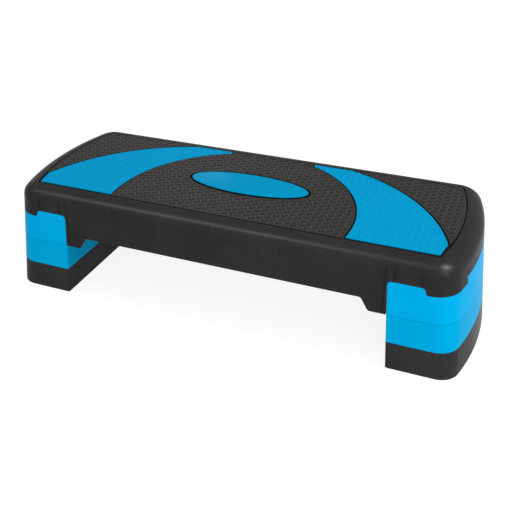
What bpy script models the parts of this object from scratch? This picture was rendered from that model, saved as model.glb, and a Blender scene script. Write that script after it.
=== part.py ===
"""Aerobic step at its highest level: a moulded platform on two stacks of loose end blocks.

Metres, Z up. The origin is on the floor, below the middle of the platform. X runs along the
platform and Y from its front side to its back side. Each end has three blocks: a black base
riser, a blue middle riser and a blue leg that is screwed up into the platform. All of them
share one flared outline, so every block nests on the one below.
"""
import math

import bmesh
import bpy
from mathutils import Matrix

MM = 0.001

# Overall sizes, at floor level unless a name says otherwise
FLOOR_HALF_LENGTH = 425.6 * MM
FLOOR_HALF_WIDTH = 160.0 * MM
END_BLOCK_LENGTH = 130.1 * MM      # from an end to that end block's inner face
LEVEL_HEIGHT = 50.0 * MM           # one riser, and so one change of height
DECK_HEIGHT = 100.0 * MM           # platform and legs, from the riser below to the standing surface
END_FLARE = math.radians(7.5)      # the ends lean outwards going down
SIDE_FLARE = math.radians(2.0)
INNER_LEAN = math.radians(4.5)
END_ARC_SETBACK = 65.0 * MM        # an end's arc is centred this far past the middle
FLOOR_CORNER_RADIUS = 35.0 * MM
CORNER_GROWTH = 0.06               # the corner radius grows by this share of the height
INNER_CORNER_RADIUS = 3.0 * MM
LEAST_RADIUS = 0.6 * MM

# Clearances
SEAM = 0.3 * MM                    # between blocks that stand on each other, and seated pieces
SKIRT_SEAM = 0.4 * MM              # between a leg and the platform's skirt
CORE_CLEARANCE = 0.5 * MM          # between a leg's core and the skirt round it
RIM_CLEARANCE = 1.0 * MM           # between a locating rim and the wall round it

# Moulded walls
WALL = 3.0 * MM
RIB = 2.5 * MM
TOP_PLATE = 3.5 * MM
RIB_SETBACK = 8.0 * MM             # a block's ribs end this far above its lower edge

# Platform
SHOULDER_WIDTH = 27.5 * MM         # from the skirt to the groove round the standing surface
SHOULDER_DROP = 21.0 * MM
FIELD_CORNER_RADIUS = 3.0 * MM     # corner of the shoulder's inner edge
RECESS_DEPTH = 3.0 * MM
SKIRT_EDGE_HEIGHT = 78.0 * MM      # the long skirt edge, measured down from the standing surface
TAB_WIDTH = 28.6 * MM              # the tab beside a leg, at its lower end
TAB_SLANT = 13.0 * MM
NOTCH_HEIGHT = 40.0 * MM           # top of the notch round a leg, below the standing surface
TOOTH_HEIGHT = 51.5 * MM           # lower edge of the corner teeth, below the standing surface
TOOTH_START = 60.0 * MM            # from a leg's inner face to the tooth
END_NOTCH_HALF_WIDTH = 98.0 * MM
DECK_RIB_DEPTH = 50.0 * MM         # lower edge of the ribs, below the standing surface
CROSS_RIBS_EACH_WAY = 3            # between the middle rib and the wall beside a leg
LONG_RIB_PITCH = 75.0 * MM

# Legs
LEG_TOP_HEIGHT = 24.0 * MM         # top of a leg's inner core, below the standing surface
CORE_SETBACK = 0.6 * MM            # the core's inner face, behind the leg's lower inner face
LEG_EDGE_TRIM = 0.1 * MM           # keeps a leg's flush edge just off its own inner face
LEG_STEP_DROP = 8.2 * MM           # from the teeth down to where a leg's wall steps inwards

# Locating rims, feet and screws
LOCATING_RIM_HEIGHT = 6.0 * MM
LOCATING_RIM_THICKNESS = 2.5 * MM
FOOT_RADIUS = 10.0 * MM
FOOT_CLEARANCE = 0.3 * MM
FOOT_PROUD = 1.0 * MM
FOOT_POCKET_DEPTH = 4.0 * MM
FOOT_PAD_WALL = 2.2 * MM           # round the pocket that holds a foot
FOOT_PAD_WEB = 6.0 * MM            # above that pocket
FOOT_NEAR_INSET = 24.5 * MM        # from a base riser's inner face to its nearer feet
FOOT_FAR_INSET = 28.6 * MM         # from a leg's rounded end, where it is narrowest, to the farther feet
FOOT_SIDE_INSET = 38.0 * MM
DIMPLE_CLEARANCE = 1.0 * MM        # round the foot above, in the hollow in a riser's top
DIMPLE_FLOOR_CLEARANCE = 0.8 * MM
SCREW_RADIUS = 2.0 * MM
SCREW_HEAD_RADIUS = 4.0 * MM
SCREW_HEAD_HEIGHT = 2.5 * MM
SCREW_LENGTH = 17.0 * MM
SCREW_CLEARANCE = 0.3 * MM
BOSS_WALL = 2.7 * MM

# Standing surface: one dark mat with openings for two crescents and an oval
RIM_GROOVE = 1.6 * MM
INLAY_GROOVE = 1.0 * MM
CRESCENT_FRONT_MARGIN = 6.0 * MM   # from the shoulder's inner edge
CRESCENT_BACK_MARGIN = 3.5 * MM
CRESCENT_CHAMFER_MARGIN = 4.1 * MM # from the rounded end to the chamfer's front corner
CRESCENT_CHAMFER_RISE = 34.5 * MM
CRESCENT_OUTER_MARGIN = 5.9 * MM   # from the rounded end to the outer arc's front corner
CRESCENT_OUTER_BACK = 154.0 * MM   # from the middle to the outer arc's back corner
CRESCENT_OUTER_BULGE = 35.4 * MM
CRESCENT_INNER_FRONT = 206.8 * MM  # from the middle to the inner arc's front corner
CRESCENT_INNER_BULGE = 43.9 * MM
CRESCENT_TIP = 83.0 * MM           # from the middle to the blunt tip
CRESCENT_TIP_WIDTH = 6.0 * MM
CRESCENT_CORNER_RADIUS = 2.0 * MM
OVAL_HALF_LENGTH = 109.0 * MM
OVAL_HALF_WIDTH = 38.5 * MM
OVAL_RISE = 1.8 * MM               # above the mat
OVAL_EDGE_ROUND = 2.5 * MM

CORNER_STEPS = 4
END_STEPS = 6
OVAL_STEPS = 40
ROUND_STEPS = 12
SCREW_STEPS = 10
PAST = 20.0 * MM                   # how far a cutter reaches past what it cuts

BASE_TOP = LEVEL_HEIGHT
MIDDLE_TOP = BASE_TOP + LEVEL_HEIGHT
DECK_TOP = MIDDLE_TOP + DECK_HEIGHT
TAB_BOTTOM = MIDDLE_TOP + SKIRT_SEAM
RECESS_FLOOR = DECK_TOP - RECESS_DEPTH
PLATE_UNDERSIDE = RECESS_FLOOR - WALL
LEG_TOP = DECK_TOP - LEG_TOP_HEIGHT
FLOOR_INNER_FACE = FLOOR_HALF_LENGTH - END_BLOCK_LENGTH
FOOT_NEAR = FLOOR_INNER_FACE + FOOT_NEAR_INSET
FOOT_SIDE = FLOOR_HALF_WIDTH - FOOT_SIDE_INSET
FOOT_POCKET_RADIUS = FOOT_RADIUS + FOOT_CLEARANCE
SCREW_HOLE_RADIUS = SCREW_RADIUS + SCREW_CLEARANCE
SIDES = {"left": -1, "right": 1}


def linear(hex_colour):
    """Linear red, green, blue and alpha of an sRGB colour written as rrggbb."""
    channels = [int(hex_colour[i:i + 2], 16) / 255 for i in (0, 2, 4)]
    return [c / 12.92 if c <= 0.04045 else ((c + 0.055) / 1.055) ** 2.4 for c in channels] + [1.0]


def make_material(name, hex_colour, roughness, metallic=0.0):
    material = bpy.data.materials.new(name)
    material.use_nodes = True
    shader = material.node_tree.nodes["Principled BSDF"]
    shader.inputs["Base Color"].default_value = linear(hex_colour)
    shader.inputs["Roughness"].default_value = roughness
    shader.inputs["Metallic"].default_value = metallic
    return material


def half_length(z):
    return FLOOR_HALF_LENGTH - z * math.tan(END_FLARE)


def half_width(z):
    return FLOOR_HALF_WIDTH - z * math.tan(SIDE_FLARE)


def inner_face(z):
    return FLOOR_INNER_FACE - z * math.tan(INNER_LEAN)


def rounded_end(z, inset, y):
    """How far from the middle the rounded end lies at height z, on the line at y."""
    radius = half_length(z) - inset + END_ARC_SETBACK
    return math.sqrt(radius ** 2 - y ** 2) - END_ARC_SETBACK


FOOT_FAR = rounded_end(MIDDLE_TOP, 0.0, FOOT_SIDE) - FOOT_FAR_INSET
SCREW_LINE = (FOOT_NEAR + FOOT_FAR) / 2


def arc(centre_x, centre_y, radius, start, end, steps):
    """Points along an arc, both ends included, with the angles in radians."""
    angles = [start + (end - start) * i / steps for i in range(steps + 1)]
    return [(centre_x + radius * math.cos(a), centre_y + radius * math.sin(a)) for a in angles]


def corner_radius(z):
    return FLOOR_CORNER_RADIUS + CORNER_GROWTH * z


def end_outline(z, inset, corner):
    """Outline of the +X end at height z, from the front side round to the back side."""
    end_radius = half_length(z) - inset + END_ARC_SETBACK
    corner_y = half_width(z) - inset - corner
    corner_x = math.sqrt((end_radius - corner) ** 2 - corner_y ** 2) - END_ARC_SETBACK
    turn = math.atan2(corner_y, corner_x + END_ARC_SETBACK)
    front = arc(corner_x, -corner_y, corner, -math.pi / 2, -turn, CORNER_STEPS)
    end = arc(-END_ARC_SETBACK, 0.0, end_radius, -turn, turn, END_STEPS)
    back = arc(corner_x, corner_y, corner, turn, math.pi / 2, CORNER_STEPS)
    return front + end[1:-1] + back


def deck_outline(z, inset):
    """Outline of the platform, whose corners sharpen from the skirt to the shoulder's inner edge."""
    share = inset / SHOULDER_WIDTH
    corner = corner_radius(z) * (1.0 - share) + FIELD_CORNER_RADIUS * share
    right = end_outline(z, inset, max(corner, LEAST_RADIUS))
    return right + [(-x, -y) for x, y in right]


def block_outline(z, inset, side, inner_inset=None):
    """Outline of an end block at height z; side is 1 for the right end and -1 for the left."""
    face = inner_face(z) + (inset if inner_inset is None else inner_inset)
    corner = max(INNER_CORNER_RADIUS - inset, LEAST_RADIUS)
    corner_x = face + corner
    corner_y = half_width(z) - inset - corner
    front = arc(corner_x, -corner_y, corner, math.pi, 1.5 * math.pi, 2)
    back = arc(corner_x, corner_y, corner, math.pi / 2, math.pi, 2)
    points = front + end_outline(z, inset, corner_radius(z) - inset) + back
    if side < 0:
        points = [(-x, y) for x, y in reversed(points)]
    return points


def shoulder_inset(z):
    """How far in from the skirt's line the platform's rounded shoulder lies at height z."""
    drop = min(max(DECK_TOP - z, 0.0), SHOULDER_DROP)
    across = math.sqrt(1.0 - (1.0 - drop / SHOULDER_DROP) ** 2)
    return SHOULDER_WIDTH * (1.0 - across)


def ellipse(half_x, half_y, steps):
    angles = [2 * math.pi * i / steps for i in range(steps)]
    return [(half_x * math.cos(a), half_y * math.sin(a)) for a in angles]


def rounded(corners):
    """Replaces each corner (x, y, radius) of a closed outline by an arc of that radius."""
    points = []
    for i, (x, y, radius) in enumerate(corners):
        if radius == 0:
            points.append((x, y))
            continue
        ways = []
        for other_x, other_y, _ in (corners[i - 1], corners[(i + 1) % len(corners)]):
            length = math.hypot(other_x - x, other_y - y)
            ways.append(((other_x - x) / length, (other_y - y) / length))
        (ax, ay), (bx, by) = ways
        half_angle = math.acos(max(-1.0, min(1.0, ax * bx + ay * by))) / 2
        reach = radius / math.tan(half_angle)
        middle = math.hypot(ax + bx, ay + by)
        centre_x = x + (ax + bx) / middle * radius / math.sin(half_angle)
        centre_y = y + (ay + by) / middle * radius / math.sin(half_angle)
        start = math.atan2(y + ay * reach - centre_y, x + ax * reach - centre_x)
        end = math.atan2(y + by * reach - centre_y, x + bx * reach - centre_x)
        turn = (end - start + math.pi) % (2 * math.pi) - math.pi
        points += arc(centre_x, centre_y, radius, start, start + turn, 3)
    return points


def add_object(name, mesh, collection):
    obj = bpy.data.objects.new(name, mesh)
    collection.objects.link(obj)
    return obj


def as_cutter(obj):
    obj.hide_render = True
    obj.display_type = "WIRE"
    return obj


def finish_mesh(bm, name):
    bmesh.ops.recalc_face_normals(bm, faces=bm.faces)
    mesh = bpy.data.meshes.new(name)
    bm.to_mesh(mesh)
    bm.free()
    return mesh


def loft(name, sections, collection):
    """Skins a list of (height, outline) sections, all with the same number of points."""
    bm = bmesh.new()
    rings = [[bm.verts.new((x, y, z)) for x, y in outline] for z, outline in sections]
    sides = []
    for lower, upper in zip(rings, rings[1:]):
        for i in range(len(lower)):
            j = (i + 1) % len(lower)
            sides.append(bm.faces.new((lower[i], lower[j], upper[j], upper[i])))
    bm.faces.new(reversed(rings[0]))
    bm.faces.new(rings[-1])
    bmesh.ops.triangulate(bm, faces=sides)
    return add_object(name, finish_mesh(bm, name), collection)


def boxes(name, extents, collection):
    """One mesh of separate boxes, each given as (x low, x high, y low, y high, z low, z high)."""
    bm = bmesh.new()
    for x0, x1, y0, y1, z0, z1 in extents:
        middle = Matrix.Translation(((x0 + x1) / 2, (y0 + y1) / 2, (z0 + z1) / 2))
        size = Matrix.Diagonal((x1 - x0, y1 - y0, z1 - z0, 1.0))
        bmesh.ops.create_cube(bm, size=1.0, matrix=middle @ size)
    return add_object(name, finish_mesh(bm, name), collection)


def discs(name, places, radius, low, high, collection, steps=ROUND_STEPS):
    """One mesh of separate upright cylinders at the given (x, y) places."""
    bm = bmesh.new()
    for x, y in places:
        bmesh.ops.create_cone(bm, cap_ends=True, segments=steps, radius1=radius, radius2=radius,
                              depth=high - low, matrix=Matrix.Translation((x, y, (low + high) / 2)))
    return add_object(name, finish_mesh(bm, name), collection)


def plate(name, outlines, thickness, matrix, collection):
    """A flat plate from closed outlines, the inner ones being holes, as one welded mesh."""
    curve = bpy.data.curves.new(name, "CURVE")
    curve.dimensions = "2D"
    curve.fill_mode = "BOTH"
    curve.extrude = thickness / 2
    for outline in outlines:
        spline = curve.splines.new("POLY")
        spline.points.add(len(outline) - 1)
        for point, (x, y) in zip(spline.points, outline):
            point.co = (x, y, 0.0, 1.0)
        spline.use_cyclic_u = True
    drawn = bpy.data.objects.new(name + "_outline", curve)
    collection.objects.link(drawn)
    evaluated = drawn.evaluated_get(bpy.context.evaluated_depsgraph_get())
    mesh = bpy.data.meshes.new_from_object(evaluated)
    bpy.data.objects.remove(drawn)
    bm = bmesh.new()
    bm.from_mesh(mesh)
    bpy.data.meshes.remove(mesh)
    bmesh.ops.remove_doubles(bm, verts=bm.verts, dist=0.00001)
    bmesh.ops.transform(bm, matrix=matrix, verts=bm.verts)
    return add_object(name, finish_mesh(bm, name), collection)


def combine(target, other, operation="DIFFERENCE"):
    modifier = target.modifiers.new(other.name, "BOOLEAN")
    modifier.operation = operation
    modifier.object = as_cutter(other)


def place(obj, material, body):
    """Gives a piece its material and hangs it on its body's empty without moving it."""
    obj.data.materials.clear()
    obj.data.materials.append(material)
    obj.parent = body
    obj.matrix_parent_inverse = Matrix.Translation(body.location).inverted()


def add_body(name, x, z, collection):
    empty = bpy.data.objects.new(name, None)
    empty.location = (x, 0.0, z)
    collection.objects.link(empty)
    return empty


def foot_places(side):
    return [(side * x, y) for x in (FOOT_NEAR, FOOT_FAR) for y in (-FOOT_SIDE, FOOT_SIDE)]


def screw_places(side):
    return [(side * SCREW_LINE, share * FOOT_SIDE) for share in (-0.75, -0.25, 0.25, 0.75)]


def skirt_edge(drop, side_gap):
    """Outline of everything below the platform's skirt edge, seen from the front.

    drop lowers the edge, and side_gap is how far the notch lies inside a leg's inner face.
    """
    tab = TAB_BOTTOM - drop
    tab_x = inner_face(tab) - TAB_WIDTH
    edge = DECK_TOP - SKIRT_EDGE_HEIGHT - drop
    notch = DECK_TOP - NOTCH_HEIGHT - drop
    tooth = DECK_TOP - TOOTH_HEIGHT - drop
    tooth_x = inner_face(notch) + TOOTH_START - drop
    right = [
        (tab_x - TAB_SLANT, edge, 6 * MM),
        (tab_x, tab, 6 * MM),
        (inner_face(tab) - side_gap, tab, 1.5 * MM),
        (inner_face(notch) - side_gap, notch, 5 * MM - drop),
        (tooth_x, notch, 3 * MM),
        (tooth_x, tooth, 3 * MM),
        (FLOOR_HALF_LENGTH + PAST, tooth, 0),
        (FLOOR_HALF_LENGTH + PAST, BASE_TOP, 0),
    ]
    left = [(-x, z, radius) for x, z, radius in reversed(right)]
    return rounded(right + left)


def skirt_edge_cutter(name, drop, side_gap, collection):
    upright = Matrix.Rotation(math.pi / 2, 4, "X")
    through = 2 * (FLOOR_HALF_WIDTH + PAST)
    return plate(name, [skirt_edge(drop, side_gap)], through, upright, collection)


def end_notch_cutter(name, drop, low, collection):
    """The taller notch in the middle of each end, as one box an end."""
    half = END_NOTCH_HALF_WIDTH - drop
    near = inner_face(DECK_TOP) + TOOTH_START
    far = FLOOR_HALF_LENGTH + PAST
    top = DECK_TOP - NOTCH_HEIGHT - drop
    extents = [(near, far, -half, half, low, top), (-far, -near, -half, half, low, top)]
    return boxes(name, extents, collection)


def circle_through(start, end, bulge):
    """Centre x, centre y and radius of an arc that bulges to the right of the way to its end."""
    chord = math.dist(start, end)
    radius = (chord ** 2 / 4 + bulge ** 2) / (2 * bulge)
    back = (radius - bulge) / chord
    centre_x = (start[0] + end[0]) / 2 - (end[1] - start[1]) * back
    centre_y = (start[1] + end[1]) / 2 - (start[0] - end[0]) * back
    return centre_x, centre_y, radius


def crescent_outline(side, grow=0.0):
    """Outline of a crescent inlay, or of the opening round it where grow is its groove."""
    field_half_width = half_width(DECK_TOP) - SHOULDER_WIDTH
    front = -field_half_width + CRESCENT_FRONT_MARGIN
    back = field_half_width - CRESCENT_BACK_MARGIN
    chamfer_x = rounded_end(DECK_TOP, SHOULDER_WIDTH, front) - CRESCENT_CHAMFER_MARGIN
    chamfer_y = front + CRESCENT_CHAMFER_RISE
    outer_start = (rounded_end(DECK_TOP, SHOULDER_WIDTH, chamfer_y) - CRESCENT_OUTER_MARGIN, chamfer_y)
    outer_end = (CRESCENT_OUTER_BACK, back)
    outer_x, outer_y, outer_radius = circle_through(outer_start, outer_end, CRESCENT_OUTER_BULGE)
    inner_start = (CRESCENT_INNER_FRONT, front)
    inner_end = (CRESCENT_TIP, back - CRESCENT_TIP_WIDTH)
    inner_x, inner_y, inner_radius = circle_through(inner_start, inner_end, CRESCENT_INNER_BULGE)

    front -= grow
    back += grow
    tip = CRESCENT_TIP - grow
    outer_radius += grow
    inner_radius -= grow
    outer_from = math.asin((chamfer_y - outer_y) / outer_radius)
    outer_to = math.asin((back - outer_y) / outer_radius)
    inner_from = math.acos((tip - inner_x) / inner_radius)
    inner_to = math.asin((front - inner_y) / inner_radius)
    outer = arc(outer_x, outer_y, outer_radius, outer_from, outer_to, 14)
    inner = arc(inner_x, inner_y, inner_radius, inner_from, inner_to, 16)
    radius = CRESCENT_CORNER_RADIUS + grow
    tip_radius = CRESCENT_CORNER_RADIUS / 2 + grow
    corners = [(chamfer_x + grow / 2, front, radius), (*outer[0], radius)]
    corners += [(x, y, 0) for x, y in outer[1:]]
    corners += [(tip, back, tip_radius), (*inner[0], tip_radius)]
    corners += [(x, y, 0) for x, y in inner[1:-1]]
    corners += [(*inner[-1], radius)]
    return [(side * x, y) for x, y in rounded(corners)]


def make_deck_shell(parts, cutters):
    """The platform: rounded shoulder, deep skirt, recess for the mat, ribs and screw bosses."""
    shoulder_foot = DECK_TOP - SHOULDER_DROP
    steps = 4
    sections = [(TAB_BOTTOM - PAST, deck_outline(TAB_BOTTOM - PAST, 0.0))]
    for i in range(steps + 1):
        turn = math.pi / 2 * i / steps
        z = shoulder_foot + SHOULDER_DROP * math.sin(turn)
        sections.append((z, deck_outline(z, SHOULDER_WIDTH * (1.0 - math.cos(turn)))))
    sections.append((RECESS_FLOOR, sections[-1][1]))
    shell = loft("deck_shell", sections, parts)

    over_leg = LEG_TOP + SEAM
    sections = [(z, deck_outline(z, WALL)) for z in (TAB_BOTTOM - 2 * PAST, over_leg)]
    for z in (shoulder_foot, (shoulder_foot + PLATE_UNDERSIDE) / 2, PLATE_UNDERSIDE):
        sections.append((z, deck_outline(z, WALL + shoulder_inset(z + WALL))))
    cavity = loft("deck_cavity", sections, cutters)

    rib_bottom = DECK_TOP - DECK_RIB_DEPTH
    pocket_wall = inner_face(LEG_TOP) - SKIRT_SEAM - RIB / 2
    reach = FLOOR_HALF_WIDTH + PAST
    gaps = CROSS_RIBS_EACH_WAY + 1
    cross = [(pocket_wall * i / gaps, rib_bottom) for i in range(-gaps, gaps + 1)]
    cross += [(-SCREW_LINE, over_leg), (SCREW_LINE, over_leg)]
    cross_ribs = [(x - RIB / 2, x + RIB / 2, -reach, reach, low, DECK_TOP) for x, low in cross]
    combine(cavity, boxes("deck_cross_ribs", cross_ribs, cutters))
    lines = [-LONG_RIB_PITCH, 0.0, LONG_RIB_PITCH]
    middle_ribs = [(-pocket_wall, pocket_wall, y - RIB / 2, y + RIB / 2, rib_bottom, DECK_TOP) for y in lines]
    combine(cavity, boxes("deck_long_ribs", middle_ribs, cutters))
    far = FLOOR_HALF_LENGTH + PAST
    end_ribs = [(*span, y - RIB / 2, y + RIB / 2, over_leg, DECK_TOP)
                for span in ((-far, -pocket_wall), (pocket_wall, far)) for y in lines]
    combine(cavity, boxes("deck_end_ribs", end_ribs, cutters))
    screws = screw_places(-1) + screw_places(1)
    boss = SCREW_HOLE_RADIUS + BOSS_WALL
    combine(cavity, discs("deck_bosses", screws, boss, over_leg, DECK_TOP, cutters))

    combine(shell, cavity)
    combine(shell, skirt_edge_cutter("deck_skirt_edge", 0.0, SKIRT_SEAM, cutters))
    combine(shell, end_notch_cutter("deck_end_notches", 0.0, BASE_TOP, cutters))
    pilot_top = LEG_TOP - TOP_PLATE + SCREW_LENGTH
    pilots = discs("deck_pilot_holes", screws, SCREW_HOLE_RADIUS, LEG_TOP, pilot_top, cutters, SCREW_STEPS)
    combine(shell, pilots)
    return shell


def hollow_block(block, name, side, levels, low, cutters):
    """Hollows a block from below, leaving crossed ribs and a pad for each foot."""
    outlines = [(z, block_outline(z, inset, side, inner_inset)) for z, inset, inner_inset in levels]
    cavity = loft(name + "_cavity", outlines, cutters)
    top = levels[-1][0] + PAST
    rib_bottom = low + RIB_SETBACK
    reach = FLOOR_HALF_LENGTH + PAST
    lines = [side * FOOT_NEAR, side * FOOT_FAR]
    cross_ribs = [(x - RIB / 2, x + RIB / 2, -reach, reach, rib_bottom, top) for x in lines]
    combine(cavity, boxes(name + "_cross_ribs", cross_ribs, cutters))
    lines = [share * FOOT_SIDE for share in (-1.0, -0.5, 0.0, 0.5, 1.0)]
    long_ribs = [(*sorted((0.0, side * reach)), y - RIB / 2, y + RIB / 2, rib_bottom, top) for y in lines]
    combine(cavity, boxes(name + "_long_ribs", long_ribs, cutters))
    places = foot_places(side)
    pocket_top = low + FOOT_POCKET_DEPTH
    pad = FOOT_POCKET_RADIUS + FOOT_PAD_WALL
    pad_top = pocket_top + FOOT_PAD_WEB
    combine(cavity, discs(name + "_foot_pads", places, pad, low - PAST, pad_top, cutters))
    combine(block, cavity)
    combine(block, discs(name + "_foot_pockets", places, FOOT_POCKET_RADIUS, low - PAST, pocket_top, cutters))


def make_riser(name, side, low, high, parts, cutters):
    """A loose riser: leaning walls, a top plate and a raised rim that locates the block above."""
    rim_middle = high + LOCATING_RIM_HEIGHT / 2
    rim_outside = block_outline(rim_middle, WALL + RIM_CLEARANCE, side)
    rim_inside = block_outline(rim_middle, WALL + RIM_CLEARANCE + LOCATING_RIM_THICKNESS, side)
    rim_top = high + SEAM + LOCATING_RIM_HEIGHT
    sections = [(z, block_outline(z, 0.0, side)) for z in (low, high)]
    sections += [(high, rim_outside), (rim_top, rim_outside), (rim_top, rim_inside), (high, rim_inside)]
    riser = loft(name, sections, parts)
    levels = [(low - PAST, WALL, WALL), (high - TOP_PLATE, WALL, WALL)]
    hollow_block(riser, name, side, levels, low, cutters)
    dimple = FOOT_RADIUS + DIMPLE_CLEARANCE
    floor = high + SEAM - FOOT_PROUD - DIMPLE_FLOOR_CLEARANCE
    combine(riser, discs(name + "_dimples", foot_places(side), dimple, floor, high + PAST, cutters))
    return riser


def make_leg(name, side, parts, cutters):
    """A leg: its lower wall is flush with the skirt, and its core fills the space inside it."""
    low = MIDDLE_TOP + SEAM
    notch = DECK_TOP - NOTCH_HEIGHT
    behind_skirt = WALL + CORE_CLEARANCE
    leg = loft(name, [(z, block_outline(z, 0.0, side)) for z in (low, notch + PAST)], parts)
    flush = skirt_edge_cutter(name + "_flush_edge", SKIRT_SEAM, LEG_EDGE_TRIM, cutters)
    combine(flush, end_notch_cutter(name + "_end_notch", SKIRT_SEAM, MIDDLE_TOP, cutters), "UNION")
    combine(leg, flush, "INTERSECT")
    sections = [(z, block_outline(z, behind_skirt, side, CORE_SETBACK)) for z in (low + RIB_SETBACK, LEG_TOP)]
    combine(leg, loft(name + "_core", sections, cutters), "UNION")
    step = DECK_TOP - TOOTH_HEIGHT - LEG_STEP_DROP
    levels = [(low - PAST, WALL, WALL), (step, WALL, WALL),
              (step + behind_skirt, WALL + behind_skirt, WALL + CORE_SETBACK),
              (LEG_TOP - TOP_PLATE, WALL + behind_skirt, WALL + CORE_SETBACK)]
    hollow_block(leg, name, side, levels, low, cutters)
    combine(leg, discs(name + "_screw_holes", screw_places(side), SCREW_HOLE_RADIUS,
                       LEG_TOP - 2 * TOP_PLATE, LEG_TOP + PAST, cutters, SCREW_STEPS))
    return leg


def make_feet(level, side_name, low, material, body, parts):
    for number, spot in enumerate(foot_places(SIDES[side_name]), start=1):
        bottom = low - FOOT_PROUD
        top = low + FOOT_POCKET_DEPTH - FOOT_CLEARANCE
        foot = discs(f"{level}_foot_{side_name}_{number}", [spot], FOOT_RADIUS, bottom, top, parts)
        place(foot, material, body)


def make_screws(side_name, material, body, parts):
    head_top = LEG_TOP - TOP_PLATE - SCREW_CLEARANCE
    for number, (x, y) in enumerate(screw_places(SIDES[side_name]), start=1):
        sections = []
        for z, radius in ((head_top - SCREW_HEAD_HEIGHT, SCREW_HEAD_RADIUS), (head_top, SCREW_HEAD_RADIUS),
                          (head_top, SCREW_RADIUS), (head_top + SCREW_LENGTH, SCREW_RADIUS)):
            ring = ellipse(radius, radius, SCREW_STEPS)
            sections.append((z, [(x + dx, y + dy) for dx, dy in ring]))
        place(loft(f"leg_screw_{side_name}_{number}", sections, parts), material, body)


def make_mat(parts):
    """The dark non-slip surface, in one piece, with openings for the blue inlays."""
    low = RECESS_FLOOR + SEAM
    lift = Matrix.Translation((0.0, 0.0, (low + DECK_TOP) / 2))
    outside = deck_outline(DECK_TOP, SHOULDER_WIDTH + RIM_GROOVE)
    oval = ellipse(OVAL_HALF_LENGTH + INLAY_GROOVE, OVAL_HALF_WIDTH + INLAY_GROOVE, OVAL_STEPS)
    outlines = [outside, crescent_outline(-1, INLAY_GROOVE), crescent_outline(1, INLAY_GROOVE), oval]
    return plate("mat_field", outlines, DECK_TOP - low, lift, parts)


def make_crescent(side_name, parts):
    low = RECESS_FLOOR + SEAM
    lift = Matrix.Translation((0.0, 0.0, (low + DECK_TOP) / 2))
    outline = crescent_outline(SIDES[side_name])
    return plate(f"grip_crescent_{side_name}", [outline], DECK_TOP - low, lift, parts)


def make_oval(parts):
    """The smooth raised badge, with a rounded edge and a nearly flat crown."""
    top = DECK_TOP + OVAL_RISE
    levels = [(RECESS_FLOOR + SEAM, 0.0)]
    for degrees in (0, 30, 60, 90):
        turn = math.radians(degrees)
        inset = OVAL_EDGE_ROUND * (1.0 - math.cos(turn))
        levels.append((top - OVAL_EDGE_ROUND * (1.0 - math.sin(turn)), inset))
    sections = []
    for z, inset in levels:
        sections.append((z, ellipse(OVAL_HALF_LENGTH - inset, OVAL_HALF_WIDTH - inset, OVAL_STEPS)))
    return loft("center_oval", sections, parts)


def build():
    for obj in list(bpy.data.objects):
        bpy.data.objects.remove(obj)
    parts = bpy.data.collections.new("aerobic_step")
    cutters = bpy.data.collections.new("cutters")
    bpy.context.scene.collection.children.link(parts)
    bpy.context.scene.collection.children.link(cutters)

    black = make_material("black_moulded_plastic", "323232", 0.5)
    upper_blue = make_material("bright_blue_moulded_plastic", "00aae2", 0.4)
    blue = make_material("blue_moulded_plastic", "00a6da", 0.4)
    dark_grip = make_material("dark_non_slip_rubber", "3d3c3c", 0.75)
    blue_grip = make_material("blue_non_slip_rubber", "0299cd", 0.65)
    gloss = make_material("blue_gloss_badge", "0495c4", 0.2)
    rubber = make_material("black_foot_rubber", "1c1c1c", 0.8)
    steel = make_material("zinc_plated_steel", "b8b8b8", 0.35, 1.0)

    deck = add_body("deck", 0.0, MIDDLE_TOP + SEAM, parts)
    place(make_deck_shell(parts, cutters), black, deck)
    place(make_mat(parts), dark_grip, deck)
    place(make_oval(parts), gloss, deck)
    for side_name, side in SIDES.items():
        place(make_crescent(side_name, parts), blue_grip, deck)
        place(make_leg(f"leg_{side_name}", side, parts, cutters), upper_blue, deck)
        make_feet("leg", side_name, MIDDLE_TOP + SEAM, rubber, deck, parts)
        make_screws(side_name, steel, deck, parts)

        middle_low = BASE_TOP + SEAM
        middle = add_body(f"middle_{side_name}", side * SCREW_LINE, middle_low, parts)
        riser = make_riser(f"middle_riser_{side_name}", side, middle_low, MIDDLE_TOP, parts, cutters)
        place(riser, blue, middle)
        make_feet("middle", side_name, middle_low, rubber, middle, parts)

        base = add_body(f"base_{side_name}", side * SCREW_LINE, 0.0, parts)
        riser = make_riser(f"base_riser_{side_name}", side, FOOT_PROUD, BASE_TOP, parts, cutters)
        place(riser, black, base)
        make_feet("base", side_name, FOOT_PROUD, rubber, base, parts)


build()
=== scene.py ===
"""The looks of an aerobic step at its highest level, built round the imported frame.

Metres, Z up, in the frame's own place: X runs along the platform and Y from its front side to its
back side. The sections follow the step from the floor up: base risers, middle risers, legs, feet,
screws, platform, mat, inlays and badge. The studio and the camera come last.
"""
import math

import bmesh
import bpy
from mathutils import Matrix, Vector


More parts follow.
